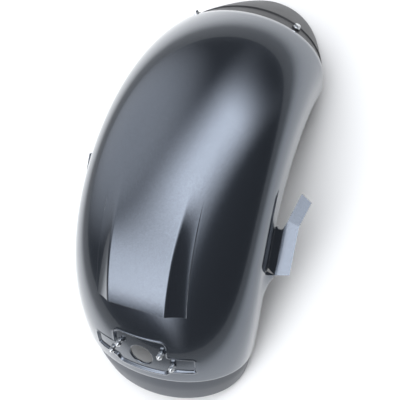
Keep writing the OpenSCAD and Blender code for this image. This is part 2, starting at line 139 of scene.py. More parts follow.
# One turn and one flank value per column of a section: steps round the arch and down each flank
def columns(across, down, edge=1.0):
    side, steps = np.linspace(0, 90, across), edge * np.arange(1, down + 1) / down
    return (np.concatenate([[-90] * down, -side[:0:-1], side, [90] * down]),
            np.concatenate([steps[::-1], np.zeros(2 * across - 1), steps]))


# The pose: the lip's lower corners and the tongue's front edge stand on the floor. The solids' own coarse
# columns are used, so that both stand alike.
def findPose():
    lipEnd = shell["tailAngle"] + lip["reach"]
    lipTurn, lipFlank = columns(13, 3)
    tongueTurn, tongueFlank = columns(15, 3)
    rear = lipPoint(lipEnd, 90, 1, 0)
    feet = tonguePoint(3, tongueTurn, tongueFlank, tongue["wall"])
    pitch = np.arctan((rear[2] - feet[:, 2]) / (rear[0] - feet[:, 0])).min()
    rim = np.concatenate([lipPoint(lipEnd, lipTurn, lipFlank, e) for e in (0, lip["wall"])]
                         + [tonguePoint(3, tongueTurn, tongueFlank, e) for e in (0, tongue["wall"])])
    posed = rim @ turnAboutY(pitch).T
    return pitch, (posed[:, 0].min() + posed[:, 0].max()) / 2, posed[:, 2].min()


def turnAboutY(angle):
    c, s = np.cos(angle), np.sin(angle)
    return np.array([[c, 0, s], [0, 1, 0], [-s, 0, c]])


pitch, middleX, floorZ = findPose()
poseMatrix = turnAboutY(pitch)


def toRow(points):
    return (np.asarray(points) @ poseMatrix.T - [middleX, 0, floorZ]) / 1000


print("pose found: pitch %.4f degrees, middle %.3f, floor %.3f" % (np.degrees(pitch), middleX, floorZ))


def addPiece(name, points, faces, materials, stands, faceMaterial=None, smooth=40):
    mesh = bpy.data.meshes.new(name)
    mesh.from_pydata(np.asarray(points).tolist(), [], [list(map(int, f)) for f in faces])
    for material in materials:
        mesh.materials.append(material)
    if faceMaterial is not None:
        mesh.polygons.foreach_set("material_index", np.asarray(faceMaterial, np.int32))
    mesh.shade_smooth()
    if smooth:
        mesh.set_sharp_from_angle(angle=np.radians(smooth))
    mesh.update()
    piece = bpy.data.objects.new(name, mesh)
    bpy.context.scene.collection.objects.link(piece)
    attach(piece, "root")
    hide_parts(*stands)


def gridQuads(index, keep=None):
    quads = np.stack([index[:-1, :-1], index[:-1, 1:], index[1:, 1:], index[1:, :-1]], -1)
    return quads[keep] if keep is not None else quads.reshape(-1, 4)


def loopQuads(a, b):
    return np.stack([a, np.roll(a, -1), np.roll(b, -1), b], -1)


# The vertices round a block of a grid, in one turn
def blockLoop(index, r0, r1, c0, c1):
    return np.concatenate([index[r0, c0:c1], index[r0:r1, c1], index[r1, c1:c0:-1], index[r1:r0:-1, c0]])


# A sheet between an outer and an inner grid, closed by a half-round rim that reaches out to the border
# of a third grid between them
def roundedSheet(outer, inner, rimGrid, keep=None, rimSteps=4):
    rows, cols = outer.shape[:2]
    outerIndex = np.arange(rows * cols).reshape(rows, cols)
    innerIndex = outerIndex + rows * cols
    points = [outer.reshape(-1, 3), inner.reshape(-1, 3)]
    outerFaces = gridQuads(outerIndex, keep)
    innerFaces = gridQuads(innerIndex, keep)[:, ::-1]
    loop = blockLoop(outerIndex, 0, rows - 1, 0, cols - 1)
    flat = points[0][loop], points[1][loop]
    centre, halfWall = (flat[0] + flat[1]) / 2, (flat[0] - flat[1]) / 2
    reach = rimGrid.reshape(-1, 3)[loop] - centre
    last, count, rimFaces = loop, 2 * rows * cols, []
    for k in range(1, rimSteps):
        a = np.pi * k / rimSteps
        points.append(centre + halfWall * np.cos(a) + reach * np.sin(a))
        ring = np.arange(count, count + len(loop))
        rimFaces.append(loopQuads(last, ring)[:, ::-1])
        last, count = ring, count + len(loop)
    rimFaces.append(loopQuads(last, loop + rows * cols)[:, ::-1])
    return points, [outerFaces, innerFaces, np.concatenate(rimFaces)], count


# A turned solid: rings of a profile, radius against height, closed at both poles or run into a ring.
# A radius may differ round the axis, as it does on a hexagon or a thread.
def turned(radii, heights, angles, ringClosed=False):
    radii = np.array([np.broadcast_to(r, angles.shape) for r in radii], float)
    heights = np.array([np.broadcast_to(h, angles.shape) for h in heights], float)
    points = np.stack([radii * np.cos(angles), radii * np.sin(angles), heights], -1)
    rows, count = radii.shape
    index = np.arange(rows * count).reshape(rows, count)
    faces = [loopQuads(index[r], index[r + 1]) for r in range(rows - 1)]
    points = points.reshape(-1, 3)
    if ringClosed:
        return points, np.concatenate(faces + [loopQuads(index[-1], index[0])]).tolist()
    points = np.concatenate([points, [[0, 0, heights[0].mean()], [0, 0, heights[-1].mean()]]])
    low, high = rows * count, rows * count + 1
    caps = [[low, index[0][(k + 1) % count], index[0][k]] for k in range(count)]
    caps += [[high, index[-1][k], index[-1][(k + 1) % count]] for k in range(count)]
    return points, np.concatenate(faces).tolist() + caps


# A hexagon's radius at each angle
def hexRadius(af, angles):
    return af / 2 / np.cos((angles + np.pi / 6) % (np.pi / 3) - np.pi / 6)


roundAngles = np.linspace(0, 2 * np.pi, 48, endpoint=False)
hexAngles = np.linspace(0, 2 * np.pi, 72, endpoint=False)


# A thread: the radius follows a zigzag along the axis that moves on by one pitch each turn
def threadRings(r, pitchLength, z0, z1, depthShare=0.6):
    heights = np.arange(z0, z1 + 1e-6, pitchLength / 6)
    phase = heights[:, None] / pitchLength - roundAngles[None] / (2 * np.pi)
    zigzag = np.abs((phase % 1) * 2 - 1)
    fade = np.clip(np.minimum(heights - z0, z1 - heights) / pitchLength, 0, 1)[:, None]
    return list(r - depthShare * pitchLength * zigzag * fade), list(heights)


hexagon = dict(coneAngle=28, nutFace=0.96, headFace=0.95, sink=0.35, boreGap=0.1)


# How far down a cone cuts into a hexagon, from the round face at its end out to the corners
def coneCut(corner, face):
    return (corner - face) * np.tan(np.radians(hexagon["coneAngle"]))


# A nut for a thread of radius r: a hexagon with both ends cut by a cone, and a bore with small countersinks
def nutShape(af, height, r):
    corner, face, sink = hexRadius(af, hexAngles), af / 2 * hexagon["nutFace"], hexagon["sink"]
    bore, cut = r + hexagon["boreGap"], coneCut(corner, face)
    radii = [bore, bore + sink, face, corner, corner, face, bore + sink, bore]
    heights = [sink, 0, 0, cut, height - cut, height, height, height - sink]
    return turned(radii, heights, hexAngles, ringClosed=True)


def joined(shapes):
    points, faces, count = [], [], 0
    for p, f in shapes:
        points.append(np.asarray(p))
        faces += [[i + count for i in face] for face in f]
        count += len(p)
    return np.concatenate(points), faces


# A frame on the skin: origin there, Z square to it, as the solids have it
def skinFrame(at, phi, tilt):
    a, t = np.radians(phi), np.radians(tilt)
    back = np.array([[np.cos(a), 0, -np.sin(a)], [0, 1, 0], [np.sin(a), 0, np.cos(a)]])
    lean = np.array([[1, 0, 0], [0, np.cos(t), np.sin(t)], [0, -np.sin(t), np.cos(t)]])
    return at, back @ lean


def fromSkin(skin, points, up=0.0):
    at, turn = skin
    return toRow((np.asarray(points) + [0, 0, up]) @ turn.T + at)


def skinTilt(y, half):
    return np.degrees(np.arctan(shell["roundDepth"] / half * (y / half) / np.sqrt(1 - (y / half) ** 2)))


def newMaterial(name):
    material = bpy.data.materials.new(name)
    material.use_nodes = True
    nodes, links = material.node_tree.nodes, material.node_tree.links
    nodes.clear()
    shader = nodes.new("ShaderNodeBsdfPrincipled")
    output = nodes.new("ShaderNodeOutputMaterial")
    links.new(shader.outputs["BSDF"], output.inputs["Surface"])
    coordinates = nodes.new("ShaderNodeTexCoord")
    return material, nodes, links, shader, coordinates.outputs["Object"]


def placeGroup(nodes, links, group, vector, **values):
    node = nodes.new("ShaderNodeGroup")
    node.node_tree = group
    links.new(vector, node.inputs["Vector"])
    for name, value in values.items():
        node.inputs[name].default_value = value
    return node


# An empty node group with its sockets, and its nodes, links, input node and output node
def groupShell(name, inputs, outputs):
    group = bpy.data.node_groups.new(name, "ShaderNodeTree")
    for socketName, kind, value in inputs:
        socket = group.interface.new_socket(socketName, in_out="INPUT", socket_type=kind)
        if value is not None:
            socket.default_value = value
    for socketName, kind in outputs:
        group.interface.new_socket(socketName, in_out="OUTPUT", socket_type=kind)
    nodes = group.nodes
    return group, nodes, group.links, nodes.new("NodeGroupInput"), nodes.new("NodeGroupOutput")


def calculate(nodes, links, operation, a, b=None):
    node = nodes.new("ShaderNodeMath")
    node.operation = operation
    for socket, value in zip(node.inputs, (a, b)):
        if value is None:
            continue
        if isinstance(value, (int, float)):
            socket.default_value = value
        else:
            links.new(value, socket)
    return node.outputs[0]


# Surface unevenness: a broad wave, a fine grain and a value for small changes of colour or gloss
def makeUnevenGroup():
    group, nodes, links, inside, outside = groupShell(
        "unevenSurface",
        [("Vector", "NodeSocketVector", None), ("Broad Scale", "NodeSocketFloat", 30.0),
         ("Fine Scale", "NodeSocketFloat", 900.0), ("Fine Share", "NodeSocketFloat", 0.3),
         ("Colour A", "NodeSocketColor", (0.1, 0.1, 0.1, 1)),
         ("Colour B", "NodeSocketColor", (0.12, 0.12, 0.12, 1)),
         ("Rough A", "NodeSocketFloat", 0.3), ("Rough B", "NodeSocketFloat", 0.4)],
        [("Color", "NodeSocketColor"), ("Roughness", "NodeSocketFloat"), ("Height", "NodeSocketFloat")])
    broad = nodes.new("ShaderNodeTexNoise")
    fine = nodes.new("ShaderNodeTexNoise")
    for texture, socketName, detail in ((broad, "Broad Scale", 3.0), (fine, "Fine Scale", 2.0)):
        links.new(inside.outputs["Vector"], texture.inputs["Vector"])
        links.new(inside.outputs[socketName], texture.inputs["Scale"])
        texture.inputs["Detail"].default_value = detail
    both = nodes.new("ShaderNodeMix")
    links.new(inside.outputs["Fine Share"], both.inputs[0])
    links.new(broad.outputs["Fac"], both.inputs[2])
    links.new(fine.outputs["Fac"], both.inputs[3])
    colours = nodes.new("ShaderNodeMix")
    colours.data_type = "RGBA"
    links.new(both.outputs[0], colours.inputs[0])
    links.new(inside.outputs["Colour A"], colours.inputs[6])
    links.new(inside.outputs["Colour B"], colours.inputs[7])
    rough = nodes.new("ShaderNodeMix")
    links.new(broad.outputs["Fac"], rough.inputs[0])
    links.new(inside.outputs["Rough A"], rough.inputs[2])
    links.new(inside.outputs["Rough B"], rough.inputs[3])
    links.new(colours.outputs[2], outside.inputs["Color"])
    links.new(rough.outputs[0], outside.inputs["Roughness"])
    links.new(both.outputs[0], outside.inputs["Height"])
    return group


paint = dict(dark=(0.082, 0.095, 0.114, 1), bright=(0.13, 0.148, 0.175, 1), metallic=0.9, rough=(0.17, 0.21),
             coat=1.0, coatRough=0.015, flakeScale=2600.0, flakePower=2.2, lean=0.03, broadScale=9.0,
             peelScale=180.0, peelShare=0.85, peelHeight=0.0000015)


# Metallic flakes: small cells, each with its own brightness and its own lean
def makeFlakeGroup():
    group, nodes, links, inside, outside = groupShell(
        "paintFlakes",
        [("Vector", "NodeSocketVector", None), ("Scale", "NodeSocketFloat", 1400.0),
         ("Lean", "NodeSocketFloat", 0.12), ("Dark", "NodeSocketColor", (0.1, 0.1, 0.1, 1)),
         ("Bright", "NodeSocketColor", (0.3, 0.3, 0.3, 1))],
        [("Color", "NodeSocketColor"), ("Normal", "NodeSocketVector")])
    cells = nodes.new("ShaderNodeTexVoronoi")
    links.new(inside.outputs["Vector"], cells.inputs["Vector"])
    links.new(inside.outputs["Scale"], cells.inputs["Scale"])
    split = nodes.new("ShaderNodeSeparateColor")
    links.new(cells.outputs["Color"], split.inputs[0])
    spread = calculate(nodes, links, "POWER", split.outputs[0], paint["flakePower"])
    colours = nodes.new("ShaderNodeMix")
    colours.data_type = "RGBA"
    links.new(spread, colours.inputs[0])
    links.new(inside.outputs["Dark"], colours.inputs[6])
    links.new(inside.outputs["Bright"], colours.inputs[7])
    centred = nodes.new("ShaderNodeVectorMath")
    centred.operation = "SUBTRACT"
    links.new(cells.outputs["Color"], centred.inputs[0])
    centred.inputs[1].default_value = (0.5, 0.5, 0.5)
    scaled = nodes.new("ShaderNodeVectorMath")
    scaled.operation = "SCALE"
    links.new(centred.outputs[0], scaled.inputs[0])
    links.new(inside.outputs["Lean"], scaled.inputs["Scale"])
    surface = nodes.new("ShaderNodeNewGeometry")
    leant = nodes.new("ShaderNodeVectorMath")
    leant.operation = "ADD"
    links.new(surface.outputs["Normal"], leant.inputs[0])
    links.new(scaled.outputs[0], leant.inputs[1])
    unit = nodes.new("ShaderNodeVectorMath")
    unit.operation = "NORMALIZE"
    links.new(leant.outputs[0], unit.inputs[0])
    links.new(colours.outputs[2], outside.inputs["Color"])
    links.new(unit.outputs[0], outside.inputs["Normal"])
    return group


unevenGroup = makeUnevenGroup()
flakeGroup = makeFlakeGroup()


def bump(nodes, links, height, distance, normal=None):
    node = nodes.new("ShaderNodeBump")
    node.inputs["Strength"].default_value = 1.0
    node.inputs["Distance"].default_value = distance
    links.new(height, node.inputs["Height"])
    if normal is not None:
        links.new(normal, node.inputs["Normal"])
    return node.outputs["Normal"]


def makePaint():
    material, nodes, links, shader, coordinates = newMaterial("metallicGreyPaint")
    flakes = placeGroup(nodes, links, flakeGroup, coordinates, Scale=paint["flakeScale"], Lean=paint["lean"],
                        Dark=paint["dark"], Bright=paint["bright"])
    uneven = placeGroup(nodes, links, unevenGroup, coordinates, **{
        "Broad Scale": paint["broadScale"], "Fine Scale": paint["peelScale"],
        "Fine Share": paint["peelShare"], "Rough A": paint["rough"][0], "Rough B": paint["rough"][1]})
    links.new(flakes.outputs["Color"], shader.inputs["Base Color"])
    links.new(uneven.outputs["Roughness"], shader.inputs["Roughness"])
    links.new(bump(nodes, links, uneven.outputs["Height"], paint["peelHeight"], flakes.outputs["Normal"]),
              shader.inputs["Normal"])
    shader.inputs["Metallic"].default_value = paint["metallic"]
    shader.inputs["Coat Weight"].default_value = paint["coat"]
    shader.inputs["Coat Roughness"].default_value = paint["coatRough"]
    return material


# A finish without flakes: two colours and two roughnesses mixed by the uneven surface
def makePlain(name, colourA, colourB, rough, metallic=0.0, broad=40.0, fine=1200.0, share=0.6,
              height=0.00003):
    material, nodes, links, shader, coordinates = newMaterial(name)
    uneven = placeGroup(nodes, links, unevenGroup, coordinates, **{
        "Broad Scale": broad, "Fine Scale": fine, "Fine Share": share, "Colour A": (*colourA, 1),
        "Colour B": (*colourB, 1), "Rough A": rough[0], "Rough B": rough[1]})
    links.new(uneven.outputs["Color"], shader.inputs["Base Color"])
    links.new(uneven.outputs["Roughness"], shader.inputs["Roughness"])
    links.new(bump(nodes, links, uneven.outputs["Height"], height), shader.inputs["Normal"])
    shader.inputs["Metallic"].default_value = metallic
    return material


shellPaint = makePaint()
shellInside = makePlain("darkPrimer", (0.035, 0.036, 0.038), (0.05, 0.051, 0.053), (0.45, 0.6),
                        height=0.00005)
lipPlastic = makePlain("satinGreyPlastic", (0.056, 0.064, 0.077), (0.07, 0.079, 0.094), (0.3, 0.4),
                       fine=2200.0, height=0.00002)
tonguePlastic = makePlain("satinBlackPlastic", (0.013, 0.013, 0.014), (0.02, 0.02, 0.022), (0.36, 0.46),
                          fine=2000.0, height=0.00004)
zincPlate = makePlain("brightZinc", (0.62, 0.64, 0.66), (0.76, 0.77, 0.77), (0.22, 0.36), metallic=1.0,
                      broad=260.0, fine=2600.0, height=0.000015)
print("materials made")


# The smaller of two values, with the corner between them rounded over r
def softMin(a, b, r):
    h = np.clip(0.5 + 0.5 * (b - a) / r, 0, 1)
    return mix(b, a, h) - r * h * (1 - h)


# Height of the raised pad over the plain shell: a flat top that ends square at the rear, flanks that
# sweep down to a small step at the foot, the whole fading into the crown towards the front
def padHeight(phi, y):
    part = np.clip((phi - pad["start"]) / (pad["end"] - pad["start"]), 0, 1)
    fade = blend(part * pad["fadeRate"])
    half = mix(pad["startHalf"], pad["topHalf"], part)
    a = np.abs(y)
    drop = shell["roundDepth"] * (1 - np.sqrt(np.maximum(0, 1 - (a / halfWidth(phi)) ** 2)))
    dropThere = shell["roundDepth"] * (1 - np.sqrt(1 - (half / halfWidth(phi)) ** 2))
    rise = pad["lift"] * part
    k = (a - half) / (pad["footHalf"] - half)
    flat = rise + drop
    flank = ((rise + dropThere) * np.maximum(0, 1 - k) ** pad["flankPower"]
             + pad["step"] * fade * np.clip(k, 0, 1))
    foot = 1 - blend((a - pad["footHalf"] + pad["footEase"][0]) / pad["footEase"][1])
    end = 1 - blend((phi - pad["end"] + pad["endEase"][0]) / pad["endEase"][1])
    return fade * softMin(flat, flank, pad["shoulder"]) * foot * end


# Signed distance to a box with round corners: negative inside
def boxDistance(s, y, low, high, half, corner):
    qs = np.abs(s - (low + high) / 2) - (high - low) / 2 + corner
    qy = np.abs(y) - half + corner
    return np.hypot(np.maximum(qs, 0), np.maximum(qy, 0)) + np.minimum(np.maximum(qs, qy), 0) - corner


# Depth of the winged recess: it grows with the distance inside the outline of a block joined with its
# wings, and a low bell-shaped bead runs just outside that outline
def recessDepth(phi, y):
    perDegree = 1 / degreesFor(1)
    s = phi * perDegree
    block = boxDistance(s, y, recess["blockTop"] * perDegree, recess["blockBottom"] * perDegree,
                        recess["blockHalf"], recess["blockCorner"])
    wings = boxDistance(s, y, recess["wingTop"] * perDegree, recess["wingBottom"] * perDegree,
                        recess["wingHalf"], recess["wingCorner"])
    outside = softMin(block, wings, recess["inner"])
    bead = recess["beadHeight"] * np.exp(-((outside - recess["beadAway"]) / recess["beadWidth"]) ** 2)
    return recess["depth"] * blend(-outside / recess["border"]) - bead


# How far the lower edge is flared behind a bracket: a steep front side and a long rear side
def flareShare(phi):
    edgeR = crown(flare["angle"]) - depth(flare["angle"])
    start, peak, end = (flare["angle"] + np.degrees(np.arctan(x / edgeR)) for x in (
        flare["length"] / 2 - flare["ramp"], flare["length"] / 2, flare["length"] / 2 + flare["run"]))
    fall = np.clip((end - phi) / (end - peak), 0, 2) ** 2
    return softMin(blend((phi - start) / (peak - start)), fall, flare["soften"])


# How far the outer face rolls down in a quarter ellipse along the tail edge
def hemDrop(phi):
    length = degreesFor(shell["hemLength"])
    k = np.clip((phi - shell["tailAngle"] + length) / length, 0, 1)
    return shell["hemRoll"] * (1 - np.sqrt(1 - k * k))


def shellPoint(phi, turn, flank, inset):
    y, k = halfWidth(phi) * np.sin(np.radians(turn)), flareShare(phi)
    points = section(phi, turn, flank, halfWidth(phi), crown(phi), depth(phi) + flare["drop"] * k, inset,
                     padHeight(phi, y) - recessDepth(phi, y) - hemDrop(phi))
    points[..., 1] += np.sign(turn) * flare["out"] * k * flank ** 2
    return points


# Values spaced evenly within each stop, which is a pair of limits and a number of steps
def spaced(stops):
    out = []
    for (a, b), n in stops:
        out.append(np.linspace(a, b, n, endpoint=False))
    return np.concatenate(out + [[stops[-1][0][1]]])


# Rows crowd together at the flare, at the pad's end, over the recess and at the hem. A mark is an angle
# and the number of rows from there to the next mark.
def shellRows():
    rim = degreesFor(shell["wall"] / 2)
    marks = [(shell["frontAngle"] + rim, 32), (pad["start"], 24), (47, 16), (50, 14), (pad["end"] - 1.2, 5),
             (pad["end"] - 0.1, 12), (pad["end"] + 0.16, 5), (pad["end"] + 1.2, 12),
             (recess["blockTop"] - 0.4, 112), (recess["blockBottom"] + 0.5, 3),
             (shell["tailAngle"] - degreesFor(shell["hemLength"]), 12),
             (shell["tailAngle"] - rim * 0.35, 1)]
    return spaced([((marks[i][0], marks[i + 1][0]), marks[i][1]) for i in range(len(marks) - 1)])


# Columns follow the pad's edges, then move over to the recess's edges behind it. A stop is a distance from
# the middle on the pad, the same over the recess, and the number of columns up to it.
def shellTurns(rows, edgeCount=22, flankCount=8):
    part = np.clip((rows - pad["start"]) / (pad["end"] - pad["start"]), 0, 1)
    half = mix(pad["startHalf"], pad["topHalf"], part)
    over = blend((rows - pad["end"] - 0.3) / (recess["blockTop"] - pad["end"] - 1))
    foot = pad["footHalf"]
    stops = [(half - 5, recess["blockHalf"] - 10, 16), (half + 4, recess["blockHalf"] + 2, 18),
             (foot - 5, recess["wingHalf"] - 8, 10), (foot - 1, recess["wingHalf"] - 4, 6),
             (foot + 0.8, recess["wingHalf"] + 0.6, 10), (foot + 3, recess["wingHalf"] + 3, 3)]
    ys, before = [np.zeros_like(rows)], np.zeros_like(rows)
    for onPad, onRecess, count in stops:
        there = mix(onPad, onRecess, over)
        ys += [mix(before, there, k / count) for k in range(1, count + 1)]
        before = there
    turns = [np.degrees(np.arcsin(y / halfWidth(rows))) for y in ys]
    turns += [mix(turns[-1], 90, k / edgeCount) for k in range(1, edgeCount + 1)]
    flanks = np.zeros((len(rows), len(turns)))
    turns = np.stack(turns, 1)
    rim = shell["wall"] / 2 / (depth(rows) - shell["roundDepth"])
    steps = np.arange(1, flankCount + 1) / flankCount
    turns = np.concatenate([turns, np.full((len(rows), flankCount), 90.0)], 1)
    flanks = np.concatenate([flanks, steps[None] * (1 - rim[:, None])], 1)
    return (np.concatenate([-turns[:, :0:-1], turns], 1), np.concatenate([flanks[:, :0:-1], flanks], 1))


def makeShell():
    rows = shellRows()
    turns, flanks = shellTurns(rows)
    phis = np.broadcast_to(rows[:, None], turns.shape)
    outer, inner = (shellPoint(phis, turns, flanks, inset) for inset in (0, shell["wall"]))
    edgePhis, edgeFlanks = phis.copy(), flanks.copy()
    edgePhis[0], edgePhis[-1] = shell["frontAngle"], shell["tailAngle"]
    edgeFlanks[:, 0], edgeFlanks[:, -1] = 1, 1
    rimGrid = shellPoint(edgePhis, turns, edgeFlanks, shell["wall"] / 2)
    index = np.arange(turns.size).reshape(turns.shape)
    ys = halfWidth(phis) * np.sin(np.radians(turns))
    along = np.radians(phis - hole["angle"]) * crown(hole["angle"])
    middle = turns.shape[1] // 2
    r0 = int(np.searchsorted(along[:, middle], -hole["patch"]))
    r1 = int(np.searchsorted(along[:, middle], hole["patch"])) - 1
    reach = int((np.abs(ys[r0, middle:]) < hole["patch"]).sum()) - 1
    c0, c1 = middle - reach, middle + reach
    keep = np.ones((len(rows) - 1, turns.shape[1] - 1), bool)
    keep[r0:r1, c0:c1] = False
    points, (outerFaces, innerFaces, rimFaces), count = roundedSheet(
        outer, inner, rimGrid, keep)
    patch = blockLoop(index, r0, r1, c0, c1)
    holePoints, holeFaces, innerFrom = makeHole(along.ravel()[patch], ys.ravel()[patch], patch,
                                                turns.size, count)
    points.append(holePoints)
    count += len(holePoints)
    faces = [outerFaces, rimFaces, holeFaces[:innerFrom], innerFaces, holeFaces[innerFrom:]]
    marks = np.repeat([0, 0, 0, 1, 1], [len(f) for f in faces])
    faces = np.concatenate(faces).tolist()
    for angle, y in stud["places"].values():
        for side in (-1, 1):
            seat, seatFaces = makeSeat(angle, side * y)
            points.append(seat)
            faces += [[i + count for i in face] for face in seatFaces]
            marks = np.concatenate([marks, np.zeros(len(seatFaces), int)])
            count += len(seat)
    addPiece("painted_shell", toRow(np.concatenate(points)), faces, [shellPaint, shellInside],
             ["fender_shell"], marks, smooth=0)


# The wiring hole: rings run from the patch's border to a circle, curl down, and come back inside
def makeHole(along, across, patch, innerStart, start):
    angles = np.arctan2(across, along)
    axis = np.array([-np.sin(np.radians(hole["angle"])), 0, np.cos(np.radians(hole["angle"]))])
    centre = shellPoint(np.array([hole["angle"]]), np.array([0.0]), np.array([0.0]), 0)[0]

    def onSkin(s, y, inset):
        phi = hole["angle"] + np.degrees(s / crown(hole["angle"]))
        return shellPoint(phi, np.degrees(np.arcsin(y / halfWidth(phi))), np.zeros_like(s), inset)
    inner, fillet, rim = hole["radius"], hole["fillet"], hole["rim"]
    outer = inner + shell["wall"]
    outerR, innerR = inner + fillet, outer + hole["insideGap"]
    rings = []
    shares = np.array([0.2, 0.38, 0.54, 0.68, 0.8, 0.9, 1.0])
    for k in shares:
        s, y = mix(along, outerR * np.cos(angles), k), mix(across, outerR * np.sin(angles), k)
        rings.append(onSkin(s, y, 0))
    # Pairs of radius and depth: a quarter round at the skin, the rim's wall and its rounded end, and back up
    curl = [(inner + fillet * (1 - np.sin(a)), fillet * (1 - np.cos(a)))
            for a in np.radians([15, 30, 45, 60, 75, 90])]
    curl += [(inner, 2.4), (inner, rim - 0.5), (inner + 0.15, rim - 0.15), (inner + 0.5, rim)]
    outerCount = len(rings) + len(curl)
    curl += [(outer - 0.5, rim), (outer - 0.15, rim - 0.15), (outer, rim - 0.5), (outer, 2.9),
             (outer + 0.25, 2.3)]
    for r, down in curl:
        skin = onSkin(r * np.cos(angles), r * np.sin(angles), 0)
        above = (skin - centre) @ axis
        rings.append(skin - axis * (down + above * blend(down / rim))[:, None])
    for k in shares[::-1]:
        s, y = mix(along, innerR * np.cos(angles), k), mix(across, innerR * np.sin(angles), k)
        rings.append(onSkin(s, y, shell["wall"]))
    count = len(patch)
    index = start + np.arange(len(rings) * count).reshape(-1, count)
    loops = [patch, *index, patch + innerStart]
    faces = np.concatenate([loopQuads(loops[i], loops[i + 1]) for i in range(len(loops) - 1)])
    return np.concatenate(rings), faces, (outerCount + 1) * count


def studFrame(angle, y):
    half = halfWidth(angle)
    at = shellPoint(np.array([angle]), np.degrees(np.arcsin(np.array([y]) / half)), np.array([0.0]), 0)[0]
    return skinFrame(at, stud["direction"], 0)


# A weld seat: a low disc with a rounded shoulder
def makeSeat(angle, y):
    r, h = stud["seatD"] / 2, stud["seatH"]
    points, faces = turned([r, r, r - 0.1, r - 0.35, r - 0.8],
                           [-1.5, h - 0.45, h - 0.15, h - 0.03, h], roundAngles)
    at, turn = studFrame(angle, y)
    return points @ turn.T + at, faces


makeShell()
print("shell made")


def makeLip():
    rim = degreesFor(lip["wall"] / 2)
    rows = np.linspace(shell["tailAngle"] - lip["tuck"] + rim, shell["tailAngle"] + lip["reach"] - rim, 64)
    turns, flanks = columns(70, 6, 1 - lip["wall"] / 2 / (depth(shell["tailAngle"]) - shell["roundDepth"]))
    phis, turns = np.meshgrid(rows, turns, indexing="ij")
    flanks = np.broadcast_to(flanks, phis.shape)
    outer, inner = (lipPoint(phis, turns, flanks, extra) for extra in (0, lip["wall"]))
    edgePhis, edgeFlanks = phis.copy(), flanks.copy()
    edgePhis[0] -= rim
    edgePhis[-1] += rim
    edgeFlanks[:, 0], edgeFlanks[:, -1] = 1, 1
    rimGrid = lipPoint(edgePhis, turns, edgeFlanks, lip["wall"] / 2)
    points, faces, _ = roundedSheet(outer, inner, rimGrid)
    addPiece("inner_lip", toRow(np.concatenate(points)), np.concatenate(faces).tolist(), [lipPlastic],
             ["tail_lip"], smooth=0)


def boltFrame(side):
    front, half = shell["frontAngle"], halfWidth(shell["frontAngle"])
    angle, y = front - degreesFor(bolt["ahead"]), half - bolt["inwards"]
    at = section(angle, np.degrees(np.arcsin(y / half)), 0, half, crown(front), depth(front) + tongue["drop"],
                 shell["wall"] + tongue["gap"])
    at[1] *= side
    at, turn = skinFrame(at, angle, side * skinTilt(y, half))
    return at + turn[:, 2] * bolt["bossUp"], turn


def makeTongue():
    straight = depth(shell["frontAngle"]) + tongue["drop"] - shell["roundDepth"]
    turns, flanks = columns(70, 6, 1 - tongue["wall"] / 2 / straight)
    rows, turns = np.meshgrid(spaced([((3, 2), 40), ((2, 1), 10), ((1, 0), 25)]), turns, indexing="ij")
    flanks = np.broadcast_to(flanks, rows.shape)
    pull = degreesFor(tongue["wall"] / 2)
    outer, inner = (tonguePoint(rows, turns, flanks, extra, pull) for extra in (0, tongue["wall"]))
    pulls, edgeFlanks = np.full(rows.shape, pull), flanks.copy()
    pulls[0], pulls[-1] = 0, 0
    edgeFlanks[:, 0], edgeFlanks[:, -1] = 1, 1
    rimGrid = tonguePoint(rows, turns, edgeFlanks, tongue["wall"] / 2, pulls)
    points, faces, _ = roundedSheet(outer, inner, rimGrid)
    shapes = [(toRow(np.concatenate(points)), np.concatenate(faces).tolist())]
    r, bore = bolt["bossD"] / 2, bolt["diameter"] / 2 + bolt["holeGap"]
    low = -bolt["bossUp"] - bolt["bossDown"]
    boss = turned([bore, bore, bore + 0.3, r - 0.8, r - 0.25, r, r, r - 0.25, r - 0.8, bore + 0.3],
                  [low + 0.3, -0.3, 0, 0, -0.25, -0.8, low + 0.8, low + 0.25, low, low],
                  roundAngles, ringClosed=True)
    boss = (boss[0], [face[::-1] for face in boss[1]])
    for side in (-1, 1):
        shapes.append((fromSkin(boltFrame(side), boss[0]), boss[1]))
    points, faces = joined(shapes)
    addPiece("front_guard", points, faces, [tonguePlastic], ["front_tongue"], smooth=35)


makeLip()
makeTongue()
print("lip and tongue made")


